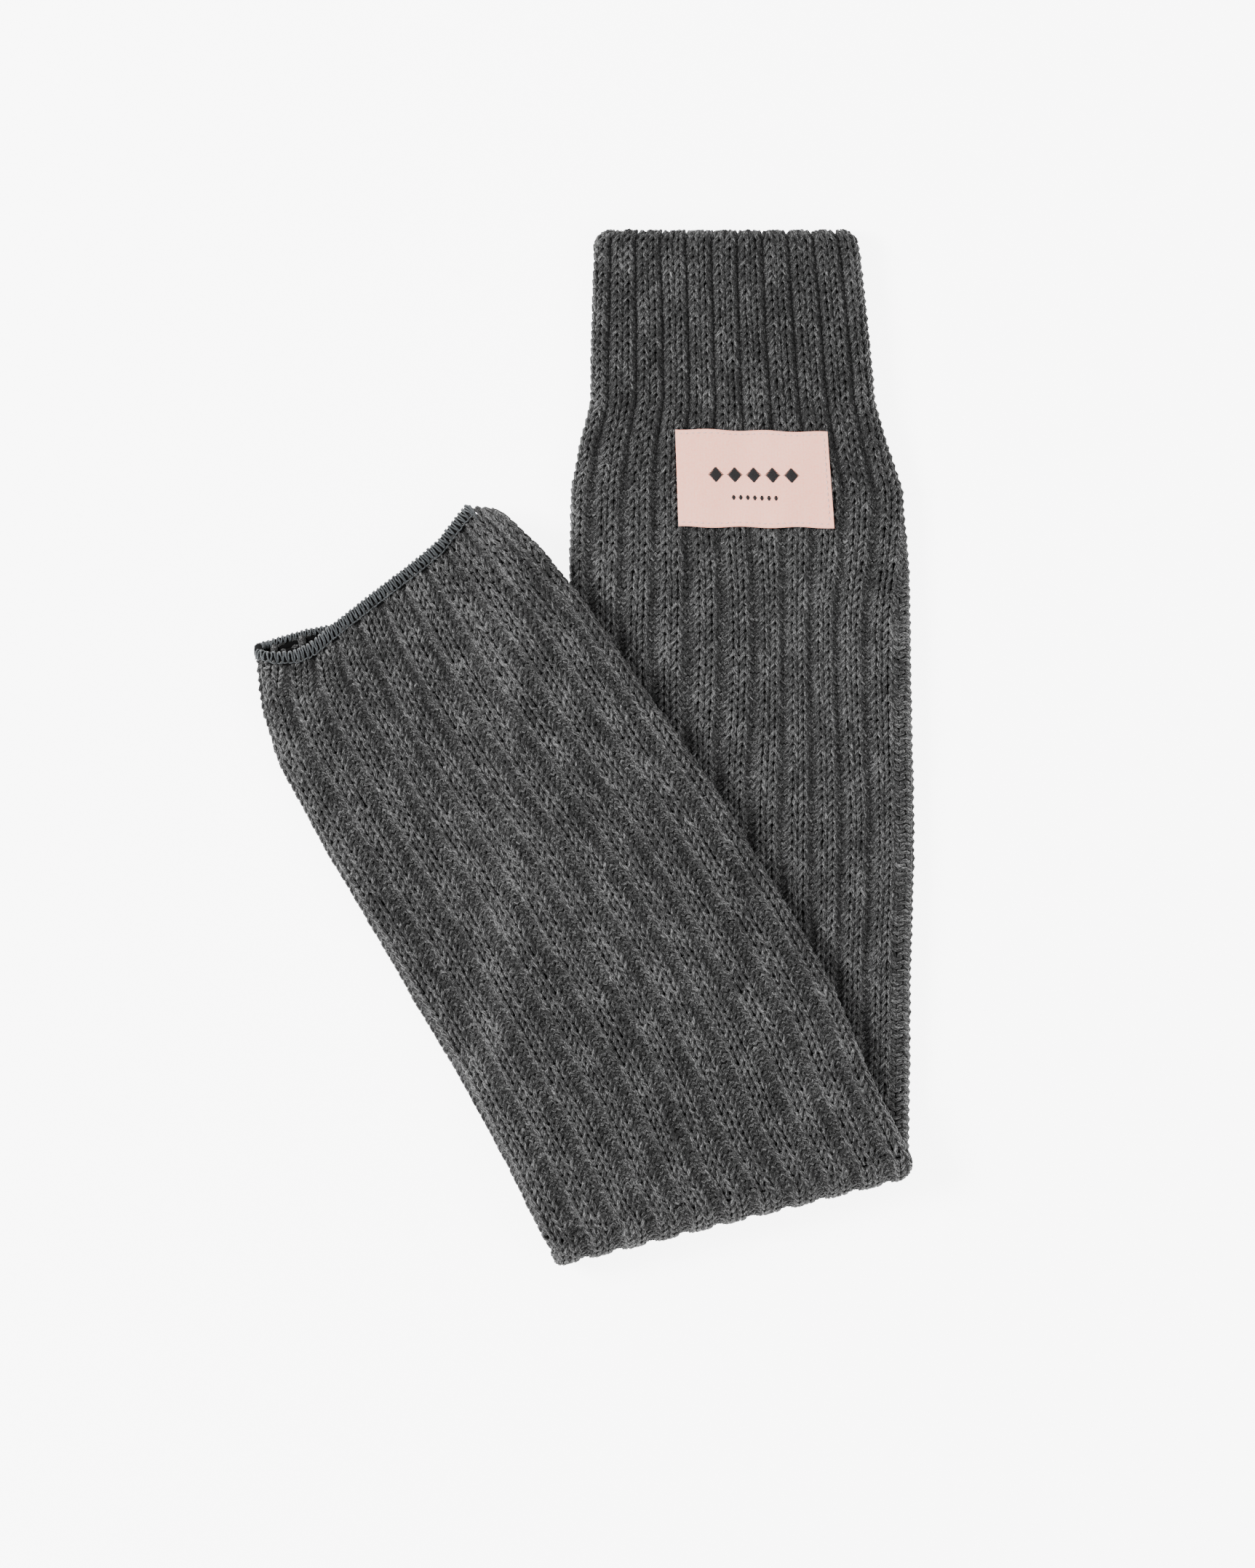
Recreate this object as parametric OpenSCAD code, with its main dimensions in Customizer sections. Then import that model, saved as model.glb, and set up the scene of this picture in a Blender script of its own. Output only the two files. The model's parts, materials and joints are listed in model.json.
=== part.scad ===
// Ribbed knit warmer, folded once across its length. Millimetres, +Z up, lying on Z = 0.
// Everything is laid out flat first, as (across, along, height) on the straight tube:
// across runs left to right, along runs from the cuff's top edge to the open mouth.
// The mouth half is then turned over about the fold line onto the cuff half.

/* [Tube] */
// Distance from the cuff's top edge to the open mouth, along the middle of the tube
tube_length = 617; // [610:1:640]
// Height of the flattened tube
tube_h = 12.4; // [12.4:0.1:13.5]
// Thickness of one layer of knit
wall = 3.4; // [3.0:0.1:3.4]

/* [Cuff] */
// Length of the doubled cuff
cuff_length = 72; // [66:1:74]
// Height of the flattened cuff
cuff_h = 14.0; // [14.0:0.1:15]
// Thickness of the cuff's outer layer
cuff_wall = 2.9; // [2.6:0.1:2.9]
// Thickness of the layer turned to the inside
turn_in_wall = 1.8; // [1.4:0.1:1.8]

/* [Fold] */
// Distance from the cuff's top edge to the fold line, along the middle of the tube
fold_at = 355.1; // [345:0.1:365]
// Angle of the fold line to the cuff's edge, in degrees
fold_angle = 14; // [8:1:18]
// How far the rounded fold stands out past the fold line
fold_nose = 9.5; // [6:0.5:12]
// How far the free end drops beside the cuff half
drape_drop = 12.0; // [0:0.1:12.2]

/* [Mouth] */
// Width of the overlocked band round the mouth
overlock_w = 4; // [3:0.5:6]
// How much further along the tube the mouth is per millimetre towards the right
mouth_slant = 0.11; // [0:0.01:0.15]

/* [Label] */
// Width of the woven label
label_w = 58; // [50:1:60]
// Height of the woven label
label_l = 36; // [32:1:36]
// Thickness of the woven label
label_t = 0.5; // [0.4:0.1:0.6]
// Distance from the cuff's top edge to the label's top edge
label_at = 74; // [74:1:90]
// Where the label's left edge lies, measured across from the middle of the tube
label_left = -23.5; // [-30:0.5:-20]

/* [Hidden] */

tube_x = 56.4;              // where the cuff half's middle line stands
top_y = 190.15;             // where the cuff's top edge stands
gap = 0.15;                 // clearance that each half keeps from the fold line
nip = 0.1;                  // clearance between pieces of one half
touch = 0.02;               // clearance of a thread that lies on a face
hinge_z = tube_h + gap;     // the halves meet here, one on the other
fold_point = [tube_x, top_y - fold_at];
fold_dir = [cos(fold_angle), sin(fold_angle)];
fold_in = [-sin(fold_angle), cos(fold_angle)];
drape_x0 = -23;             // the free end starts to drop here
drape_x1 = -50;             // and is down here
knit_grey = "#4c4c4b";
knit_dark = "#424242";
thread_grey = "#5f686d";
label_pink = "#ecd0c7";
motif_black = "#2b2328";

// Left and right edges of the flattened tube at stations along it
left_edge = [[0, -50], [5, -53.5], [64, -54.5], [80, -59], [96, -62], [125, -62.5], [300, -64],
             [340, -68], [372, -71.5], [406, -70], [442, -70.5], [488, -72.5], [535, -75.5],
             [575, -75], [597, -70.5], [611, -64.5], [622, -60]];
right_edge = [[0, 40], [5, 43.5], [64, 49.5], [80, 54.5], [96, 60.5], [125, 63], [300, 62.7],
              [340, 61.8], [372, 62.5], [406, 65.5], [442, 65], [488, 62], [535, 56],
              [575, 51], [597, 47], [611, 42.5], [622, 37]];
lower_stations = [80, 88, 96, 125, 190, 255, 320];
upper_stations = [392, 406, 442, 465];
mouth_from = 488;           // the mouth half's knit is parted here into two stretches
mouth_stations = [510, 535, 575, 597];
taper_from = 64;            // the cuff thins down to the tube from here
taper_l = 24;               // and over this length
wall_taper_l = 16;          // length over which the wall does so
doubled_wall = cuff_wall + turn_in_wall + nip;
across_steps = 14;          // points across each face
arc_steps = 5;              // points round each side edge
fold_steps = 8;             // rings round the fold

function ease(t) = let (u = max(0, min(1, t))) u * u * (3 - 2 * u);
function height_at(l) = cuff_h + (tube_h - cuff_h) * ease((l - taper_from) / taper_l);
function wall_at(l) = doubled_wall + (wall - doubled_wall) * ease((l - cuff_length) / wall_taper_l);
// Height of the cuff half's top face, as its stations give it
lower_tops = [for (l = concat([0, taper_from, cuff_length + nip], lower_stations)) [l, height_at(l)]];
function top_at(l) = lookup(l, lower_tops);
function crease_at(c) = fold_at - c * tan(fold_angle);
function mouth_at(c) = tube_length + mouth_slant * c;

// Points round the flattened tube at a station, as [across, height], shrunk by inset
function ring(l, inset) =
    let (h = height_at(l), mid = h / 2, r = mid - inset,
         a = lookup(l, left_edge) + mid, b = lookup(l, right_edge) - mid)
    concat(
        [for (i = [0:across_steps - 1]) [a + (b - a) * i / (across_steps - 1), inset]],
        [for (i = [1:arc_steps]) let (t = -90 + 180 * i / (arc_steps + 1))
            [b + r * cos(t), mid + r * sin(t)]],
        [for (i = [0:across_steps - 1]) [b + (a - b) * i / (across_steps - 1), h - inset]],
        [for (i = [1:arc_steps]) let (t = 90 + 180 * i / (arc_steps + 1))
            [a + r * cos(t), mid + r * sin(t)]]);

// Places for a point (across c, along l, height h): flat, and turned over onto the cuff half
function laid(c, l, h) = [tube_x + c, top_y - l, h];
function drop_at(x) = drape_drop * (1 - ease((x - drape_x1) / (drape_x0 - drape_x1)));
function turned(c, l, h) =
    let (d = [tube_x + c, top_y - l] - fold_point,
         p = fold_point + (d * fold_dir) * fold_dir - (d * fold_in) * fold_in)
    [p.x, p.y, 2 * hinge_z - h - drop_at(p.x)];
function round_fold(c, h, phi) =
    let (r = hinge_z - h,
         p = fold_point + c / cos(fold_angle) * fold_dir
             - r * sin(phi) * fold_nose / hinge_z * fold_in)
    [p.x, p.y, hinge_z - r * cos(phi)];

// Rings at stations, where each is a list of one [across, height] pair per point
function laid_ring(l, inset) = [for (q = ring(l, inset)) laid(q.x, l, q.y)];
function laid_crease(inset, back) =
    [for (q = ring(fold_at, inset)) laid(q.x, crease_at(q.x) - back, q.y)];
function turned_ring(l, inset) = [for (q = ring(l, inset)) turned(q.x, l, q.y)];
function turned_crease(inset, back) =
    [for (q = ring(fold_at, inset)) turned(q.x, crease_at(q.x) + back, q.y)];
function turned_mouth(inset, back) =
    [for (q = ring(tube_length - back, inset)) turned(q.x, mouth_at(q.x) - back, q.y)];

// A tube wall between a list of outer rings and a list of inner rings
module skin(outer, inner) {
    n = len(outer[0]);
    m = len(outer);
    pts = concat([for (r = outer) each r], [for (r = inner) each r]);
    function o(i, j) = i * n + j % n;
    function s(i, j) = (m + i) * n + j % n;
    function two(a, b, c, d) = [[a, b, c], [a, c, d]];
    faces = concat(
        [for (i = [0:m - 2], j = [0:n - 1]) each two(o(i, j), o(i + 1, j), o(i + 1, j + 1), o(i, j + 1))],
        [for (i = [0:m - 2], j = [0:n - 1]) each two(s(i, j), s(i, j + 1), s(i + 1, j + 1), s(i + 1, j))],
        [for (j = [0:n - 1]) each two(o(0, j), o(0, j + 1), s(0, j + 1), s(0, j))],
        [for (j = [0:n - 1]) each two(o(m - 1, j), s(m - 1, j), s(m - 1, j + 1), o(m - 1, j + 1))]);
    polyhedron(pts, faces, convexity = 6);
}

// A bar with a four-cornered section at each of its stations
module bar(sections) {
    m = len(sections);
    pts = [for (s = sections) each s];
    faces = concat(
        [[0, 1, 2, 3], [4 * m - 1, 4 * m - 2, 4 * m - 3, 4 * m - 4]],
        [for (i = [0:m - 2], j = [0:3]) let (a = 4 * i + j, b = 4 * i + (j + 1) % 4)
            each [[a, a + 4, b + 4], [a, b + 4, b]]]);
    polyhedron(pts, faces, convexity = 4);
}

// A strip lying on the cuff half: from c0 to c1 across, along the stations, lift to lift + t high
module strip(c0, c1, stations, lift, t) {
    bar([for (l = stations) let (z = top_at(l) + lift)
        [laid(c0, l, z), laid(c1, l, z), laid(c1, l, z + t), laid(c0, l, z + t)]]);
}

// The cuff's outer layer is thick where it turns in: stations, and the wall's thickness there
turn_edge = 2;
cuff_stations = [5, 35, taper_from];
cuff_insets = concat([[0, doubled_wall], [turn_edge, doubled_wall], [turn_edge + nip, cuff_wall]],
                     [for (l = concat(cuff_stations, [cuff_length])) [l, cuff_wall]]);
module cuff_outer() {
    color(knit_grey)
    skin([for (q = cuff_insets) laid_ring(q.x, 0)], [for (q = cuff_insets) laid_ring(q.x, q.y)]);
}

// The layer turned to the inside, and the stitching that holds its free edge
hem_w = 2;
turn_in_inset = cuff_wall + nip;
module cuff_turn_in() {
    stations = concat([turn_edge + 0.3], cuff_stations, [cuff_length - hem_w - 0.2]);
    color(knit_dark)
    skin([for (l = stations) laid_ring(l, turn_in_inset)],
         [for (l = stations) laid_ring(l, turn_in_inset + turn_in_wall)]);
}

module cuff_hem_stitching() {
    stations = [cuff_length - hem_w, cuff_length - nip];
    color(thread_grey)
    skin([for (l = stations) laid_ring(l, turn_in_inset)],
         [for (l = stations) laid_ring(l, turn_in_inset + turn_in_wall)]);
}

module lower_tube() {
    stations = concat([cuff_length + nip], lower_stations);
    color(knit_grey)
    skin(concat([for (l = stations) laid_ring(l, 0)], [laid_crease(0, gap)]),
         concat([for (l = stations) laid_ring(l, wall_at(l))], [laid_crease(wall, gap)]));
}

// The linked selvedges, a flat ridge inside the right-hand edge
seam_in = 9.5;
seam_out = 4.1;
seam_h = 2;
seam_stations = [for (l = lower_stations) if (l > cuff_length + 15) l];
module lower_side_seam() {
    color(knit_dark)
    bar([for (l = seam_stations) let (b = lookup(l, right_edge), z = height_at(l) / 2 - seam_h / 2)
        [laid(b - seam_in, l, z), laid(b - seam_out, l, z),
         laid(b - seam_out, l, z + seam_h), laid(b - seam_in, l, z + seam_h)]]);
}

module upper_side_seam() {
    stations = concat(upper_stations, mouth_stations);
    z = (tube_h - seam_h) / 2;
    color(knit_dark)
    bar([for (l = stations) let (b = lookup(l, right_edge))
        [turned(b - seam_in, l, z + seam_h), turned(b - seam_out, l, z + seam_h),
         turned(b - seam_out, l, z), turned(b - seam_in, l, z)]]);
}

// The knit going round the fold, outer and inner layer with the side edges between
module fold_band() {
    function at(inset, phi) = [for (q = ring(fold_at, inset)) round_fold(q.x, q.y, phi)];
    color(knit_grey)
    skin([for (i = [0:fold_steps]) at(0, 180 * i / fold_steps)],
         [for (i = [0:fold_steps]) at(wall, 180 * i / fold_steps)]);
}

module upper_tube() {
    stations = concat(upper_stations, [mouth_from - nip]);
    color(knit_grey)
    skin(concat([turned_crease(0, gap)], [for (l = stations) turned_ring(l, 0)]),
         concat([turned_crease(wall, gap)], [for (l = stations) turned_ring(l, wall)]));
}

module mouth_tube() {
    stations = concat([mouth_from], mouth_stations);
    backs = [overlock_w + needle_back + needle_w + nip, overlock_w + nip];
    color(knit_grey)
    skin(concat([for (l = stations) turned_ring(l, 0)], [for (back = backs) turned_mouth(0, back)]),
         concat([for (l = stations) turned_ring(l, wall)], [for (back = backs) turned_mouth(wall, back)]));
}

// A band round the mouth: how far back it starts and ends, and the depths of its two faces
module mouth_band(backs, outer, inner) {
    skin([for (back = backs) turned_mouth(outer, back)], [for (back = backs) turned_mouth(inner, back)]);
}

// The trimmed edge of the knit, squeezed between the two loopers' threads
looper_t = 0.5;
edge_t = 2;
edge_back = 0.5;
module mouth_edge() {
    color(knit_dark)
    mouth_band([overlock_w, edge_back], looper_t + 2 * nip, looper_t + 2 * nip + edge_t);
}

module overlock_outer_looper() {
    color(thread_grey)
    mouth_band([overlock_w, 0], nip, nip + looper_t);
}

module overlock_inner_looper() {
    inset = looper_t + 3 * nip + edge_t;
    color(thread_grey)
    mouth_band([overlock_w, 0], inset, inset + looper_t);
}

// The needle thread's line of stitches, just behind the band and proud of the outer face
needle_w = 0.9;
needle_back = 0.4;
needle_proud = 0.45;
module overlock_needle_thread() {
    back = overlock_w + needle_back;
    color(thread_grey)
    mouth_band([back + needle_w, back], -needle_proud, -touch);
}

label_right = label_left + label_w;
label_end = label_at + label_l;
label_stations = concat([label_at], [for (l = lower_stations) if (l > label_at && l < label_end) l],
                        [label_end]);
label_fold_w = 8;           // width of each end turned under
under = 0.6;                // height of the label's underside over the knit
fold_lift = 0.05;           // height of the turned-under ends over the knit
module label_ground() {
    color(label_pink)
    strip(label_left, label_right, label_stations, under, label_t);
}

module label_end_fold_left() {
    color(label_pink)
    strip(label_left, label_left + label_fold_w, label_stations, fold_lift, label_t);
}

module label_end_fold_right() {
    color(label_pink)
    strip(label_right - label_fold_w, label_right, label_stations, fold_lift, label_t);
}

// A row of woven diamonds with a shorter row of dots under it
motif_t = 0.2;
diamonds = 5;
diamond_pitch = 7;
diamond_r = 3;
diamond_row = 16.5;         // from the label's top edge
dots = 7;
dot_pitch = 2.6;
dot_r = 0.55;
dot_row = 25;
module label_motif() {
    middle = (label_left + label_right) / 2;
    z = top_at(label_at + diamond_row - diamond_r) + under + label_t + touch;
    color(motif_black) {
        for (i = [0:diamonds - 1])
            translate(laid(middle + (i - (diamonds - 1) / 2) * diamond_pitch, label_at + diamond_row, z))
                linear_extrude(motif_t) circle(diamond_r, $fn = 4);
        for (i = [0:dots - 1])
            translate(laid(middle + (i - (dots - 1) / 2) * dot_pitch, label_at + dot_row, z))
                linear_extrude(motif_t) circle(dot_r, $fn = 4);
    }
}

stitch_pitch = 3.5;
stitch_l = 2.4;
stitch_w = 0.5;
stitch_t = 0.35;
stitch_margin = 1.5;        // from the label's ends
stitch_in = 1.4;            // from the label's top and bottom edges
module stitch_row(at) {
    count = floor((label_w - stitch_margin) / stitch_pitch);
    for (i = [0:count - 1]) let (c = label_left + stitch_margin + i * stitch_pitch)
        strip(c, c + stitch_l, [at, at + stitch_w], under + label_t + touch, stitch_t);
}

module label_stitch_top() {
    color(label_pink)
    stitch_row(label_at + stitch_in);
}

module label_stitch_bottom() {
    color(label_pink)
    stitch_row(label_end - stitch_in - stitch_w);
}

// The same thread down the label's right edge, between the two rows
module label_stitch_right() {
    first = label_at + stitch_in + stitch_w + stitch_margin;
    last = label_end - stitch_in - stitch_w - stitch_margin;
    count = floor((last - first) / stitch_pitch);
    color(label_pink)
    for (i = [0:count - 1]) let (l = first + i * stitch_pitch)
        strip(label_right - stitch_in - stitch_w, label_right - stitch_in, [l, l + stitch_l],
              under + label_t + touch, stitch_t);
}

cuff_outer();
cuff_turn_in();
cuff_hem_stitching();
lower_tube();
lower_side_seam();
fold_band();
label_ground();
label_end_fold_left();
label_end_fold_right();
label_motif();
label_stitch_top();
label_stitch_bottom();
label_stitch_right();
upper_tube();
mouth_tube();
upper_side_seam();
mouth_edge();
overlock_needle_thread();
overlock_outer_looper();
overlock_inner_looper();
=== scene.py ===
import bpy
import json
import math
import numpy as np
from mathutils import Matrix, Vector


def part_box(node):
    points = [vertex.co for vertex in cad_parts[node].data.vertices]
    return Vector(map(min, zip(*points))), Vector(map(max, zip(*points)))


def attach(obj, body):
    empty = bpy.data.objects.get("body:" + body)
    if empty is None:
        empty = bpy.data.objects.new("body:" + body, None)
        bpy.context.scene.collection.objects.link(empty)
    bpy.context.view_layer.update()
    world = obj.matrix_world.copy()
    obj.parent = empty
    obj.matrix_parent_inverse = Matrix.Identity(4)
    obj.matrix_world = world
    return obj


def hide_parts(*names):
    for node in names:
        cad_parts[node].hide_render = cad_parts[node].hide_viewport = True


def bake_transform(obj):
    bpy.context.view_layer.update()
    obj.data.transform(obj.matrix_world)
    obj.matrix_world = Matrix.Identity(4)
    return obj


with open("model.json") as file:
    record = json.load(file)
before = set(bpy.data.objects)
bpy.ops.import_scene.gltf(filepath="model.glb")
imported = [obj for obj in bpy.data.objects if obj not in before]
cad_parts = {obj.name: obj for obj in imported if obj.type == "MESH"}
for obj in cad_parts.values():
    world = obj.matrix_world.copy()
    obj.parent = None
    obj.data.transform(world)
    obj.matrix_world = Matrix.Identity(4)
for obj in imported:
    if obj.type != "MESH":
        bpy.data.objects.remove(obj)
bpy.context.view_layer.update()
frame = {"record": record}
mm = 0.001
dice = np.random.default_rng(11)
joint = frame["record"]["behaviour"]["joints"][0]
hinge = np.array(joint["pos_m"]) / mm
foldAlong = np.array(joint["axis"][:2]) / np.linalg.norm(joint["axis"][:2])  # along the fold line
foldIn = np.array([-foldAlong[1], foldAlong[0]])  # from the fold towards the cuff
lean = math.atan2(foldAlong[1], foldAlong[0])
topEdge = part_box("cuff_outer")[1].y / mm

# The tube laid out straight and flat: across from its middle line, along from the cuff's top edge
tube = {
    "length": 617.0,
    "height": 12.4,
    "cuffHeight": 14.0,
    "cuffLength": 72.0,
    "foldAt": topEdge - hinge[1],
    "nose": 9.5,  # how far the rounded fold stands out
    "noseShift": 2.3,  # how far the fold's front leans to the left
    "noseSkew": 1.16,  # the layers above it shift to meet both halves
    "drop": 12.0,  # the free end drapes down beside the cuff half
    "dropFrom": -23.0,
    "dropTo": -50.0,
    "mouthSlant": 0.11,
    "mouthFrom": 582.0,  # the rows start to follow the mouth's slant here, over the next 32 mm
    "mouthOver": 32.0,
    "tuckFrom": 31.0,  # right of here the mouth's edge is rolled under
    "tuckOver": 3.5,
    "leftEase": 0.5,  # the loops stand this far out of the plain tube's edges
    "rightEase": 1.3,
    "left": [(0, -50), (5, -53.5), (64, -54.5), (80, -59), (96, -62), (125, -62.5), (300, -64), (340, -68),
             (372, -71.5), (406, -70), (442, -70.5), (488, -72.5), (535, -75.5), (575, -75), (597, -70.5),
             (611, -64.5), (622, -60)],
    "right": [(0, 40), (5, 43.5), (64, 49.5), (80, 54.5), (96, 60.5), (125, 63), (300, 62.7), (340, 61.8),
              (372, 62.5), (406, 65.5), (442, 65), (488, 62), (535, 56), (575, 51), (597, 47), (611, 42.5),
              (622, 37)],
    # how far each lip of the mouth waves past its straight line
    "frontLip": [(-63, 6), (-59, 1.5), (-51, -3.2), (-44, -4.4), (-36, -3.4), (-15, -1.9), (5, -0.7),
                 (15, 0.4), (26, 4.2), (31, 5.4), (35, 3.2), (42, -2.5)],
    "backLip": [(-63, 7), (-59, 6), (-51, 3.6), (-43, 1), (-33, -3.2), (-15, -3), (5, -1.9), (15, -0.8),
                (26, 2.4), (35, 1.7), (42, -3.5)],
}
knit = {
    "wales": 88,  # 22 ribs of two plain and two purl
    "ribs": 22,
    "row": 3.2,  # from row to row
    "wale": 4.1,  # width of a plain stitch
    "yarn": 0.77,  # radius of the yarn
    "middle": 1.68,  # from the outer face to the middle of the layer
    "swing": 2.8,  # half of a loop's height
    "bow": 0.275,  # how far a loop's legs spread, in wales
    "depth": 0.92,  # how far legs stand out and heads lie back
    "ribDepth": 1.75,  # how far the purl stitches sink between the ribs
    "roll": 1.15,  # radius of the cuff's turned edge
    "turnMiddle": 3.95,  # from the outer face to the middle of the turned layer
}
rollAt = knit["roll"] + knit["middle"]


def ease(t):
    u = np.clip(t, 0, 1)
    return u * u * (3 - 2 * u)


def along(l, pairs):
    xs, ys = zip(*pairs)
    return np.interp(l, xs, ys)


def smoothNoise(seed, *coords):
    # a few sines of seeded direction and phase, from about -1 to 1
    r = np.random.default_rng(seed)
    total = 0
    for i in range(5):
        phase = r.uniform(0, 2 * math.pi)
        weights = r.uniform(0.35, 1.0, len(coords)) * r.choice([-1, 1], len(coords))
        total = total + np.sin(sum(w * c for w, c in zip(weights, coords)) * (1 + 0.55 * i) + phase)
    return total / 3


def heightAt(l):
    return tube["cuffHeight"] + (tube["height"] - tube["cuffHeight"]) * ease((l - 64) / 24)


def creaseAt(c):
    return tube["foldAt"] - c * math.tan(lean)


def pulledAt(s, l):
    # the last purl pair before the cuff half's right edge is pulled wide and flat
    return ease((l - 95) / 50) * (1 - ease((l - 340) / 14)) * ease((s - 24) / 18) * ease((45 - s) / 1)


def ribPlace(s, pitch, l):
    # wales to ribs: plain stitches keep their width, and the purl pair takes what is left
    rib = np.floor(s / 4)
    f = s / 4 - rib
    share = np.clip(2 * knit["wale"] / pitch, 0.3, 0.84)
    g = np.where(f < 0.5, f * 2 * share, share + (f - 0.5) * 2 * (1 - share))
    return (rib + g) / knit["ribs"] - 0.018 * pulledAt(s, l) * ease((44 - s) / 2)


def ribLevel(s):
    # 0 on the crest of a rib, -1 at the bottom of the valley
    d = np.abs((s - 1 + 2) % 4 - 2)
    return -(ease((d - 0.5) / 1.15))


def sunkAt(s, l):
    return ribLevel(s) * (1 - 0.8 * pulledAt(s, l) * ease((s - 40) / 2))


def ringArc(e, l, inset):
    # around the flattened tube: from the left edge over the top to the right edge and back below
    height = heightAt(l)
    mid = height / 2
    r0 = mid - knit["middle"]
    r = mid - inset
    a = along(l, tube["left"]) + mid - tube["leftEase"]
    b = along(l, tube["right"]) - mid + tube["rightEase"]
    flat = b - a
    bend = math.pi * r0
    d = (e % 1) * 2 * (flat + bend)
    quarter = bend / 2
    angleLeftTop = math.pi - d / r0
    angleRight = math.pi / 2 - (d - quarter - flat) / r0
    angleLeftLow = -math.pi / 2 - (d - 2 * flat - 3 * quarter) / r0
    zone = [d < quarter, d < quarter + flat, d < 3 * quarter + flat, d < 3 * quarter + 2 * flat]
    c = np.select(zone, [a + r * np.cos(angleLeftTop), a + d - quarter, b + r * np.cos(angleRight),
                         b - (d - 3 * quarter - flat)], a + r * np.cos(angleLeftLow))
    h = np.select(zone, [mid + r * np.sin(angleLeftTop), mid + r, mid + r * np.sin(angleRight), mid - r],
                  mid + r * np.sin(angleLeftLow))
    return c, h


def ringPoint(s, l, inset):
    height = heightAt(l)
    flat = along(l, tube["right"]) - along(l, tube["left"]) - height
    total = 2 * (flat + math.pi * (height / 2 - knit["middle"]))
    e = ribPlace(s % knit["wales"], total / knit["ribs"], l)
    e = e + 0.0035 * smoothNoise(5, e * 9, l / 70)
    return ringArc(e, l, inset)


def fabricPoint(s, q, n):
    # s wales round the tube, q along the knit from the cuff's turned edge, n out from the layer's middle
    turn = np.clip(-q / knit["roll"], 0, math.pi)
    past = np.maximum(-q - math.pi * knit["roll"], 0)
    l = rollAt + np.maximum(q, 0) - (knit["roll"] + n) * np.sin(turn) + past
    inset = knit["middle"] + knit["roll"] * (1 - np.cos(turn)) - n * np.cos(turn)
    inset = inset + (knit["turnMiddle"] - knit["middle"] - 2 * knit["roll"]) * (turn >= math.pi)
    c, h = ringPoint(s, l, inset)
    rolled = tuckAt(c) * ease((l - 608) / 8)
    h = h + (heightAt(l) / 2 - h) * 0.45 * rolled
    c = c + 0.5 * smoothNoise(7, l / 40, c / 30)
    l = l + 0.7 * smoothNoise(9, l / 45, c / 22) * ease((l - 15) / 30) * (1 - ease((l - 575) / 20))
    return c, l + mouthShift(c, l, h), h


def tuckAt(c):
    # 0 along the mouth, rising to 1 at its right corner
    return ease((c - tube["tuckFrom"]) / tube["tuckOver"])


def mouthLine(c, l, h):
    # how far the mouth runs past its length here: its slant, and the wave of the lip on this face
    lip = np.where(h < heightAt(l) / 2, along(c, tube["frontLip"]), along(c, tube["backLip"]))
    return tube["mouthSlant"] * c + lip


def mouthShift(c, l, h):
    return ease((l - tube["mouthFrom"]) / tube["mouthOver"]) * mouthLine(c, l, h)


def laid(c, l, h):
    return np.stack([hinge[0] + c, topEdge - l, h], -1)


def turned(c, l, h):
    # turned over the fold onto the cuff half, with the free end draped down beside it
    dx = c
    dy = topEdge - l - hinge[1]
    u = dx * foldAlong[0] + dy * foldAlong[1]
    v = -(dx * foldIn[0] + dy * foldIn[1])
    x = hinge[0] + u * foldAlong[0] + v * foldIn[0]
    y = hinge[1] + u * foldAlong[1] + v * foldIn[1]
    fall = 1 - ease((x - tube["dropTo"]) / (tube["dropFrom"] - tube["dropTo"]))
    return np.stack([x, y, 2 * hinge[2] - h - tube["drop"] * fall], -1)


def roundFold(c, h, phi):
    r = hinge[2] - h
    shift = tube["noseSkew"] * np.sin(2 * phi) + tube["noseShift"] * np.sin(phi)
    u = c / math.cos(lean) - shift * r / hinge[2]
    v = -r * np.sin(phi) * tube["nose"] / hinge[2]
    x = hinge[0] + u * foldAlong[0] + v * foldIn[0]
    y = hinge[1] + u * foldAlong[1] + v * foldIn[1]
    return np.stack([x, y, hinge[2] - r * np.cos(phi)], -1)


def addMesh(name, verts, starts, totals, corners):
    # a mesh from arrays, in millimetres
    mesh = bpy.data.meshes.new(name)
    mesh.vertices.add(len(verts))
    mesh.vertices.foreach_set("co", (verts * mm).astype(np.float32).ravel())
    mesh.loops.add(len(corners))
    mesh.loops.foreach_set("vertex_index", corners.astype(np.int32))
    mesh.polygons.add(len(starts))
    mesh.polygons.foreach_set("loop_start", starts.astype(np.int32))
    mesh.polygons.foreach_set("loop_total", totals.astype(np.int32))
    mesh.polygons.foreach_set("use_smooth", np.full(len(starts), True))
    mesh.update(calc_edges=True)
    mesh.validate()
    obj = bpy.data.objects.new(name, mesh)
    bpy.context.scene.collection.objects.link(obj)
    return obj


def quadMesh(name, verts, faces):
    starts = np.arange(len(faces)) * 4
    return addMesh(name, verts.reshape(-1, 3), starts, np.full(len(faces), 4), faces.ravel())


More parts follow.
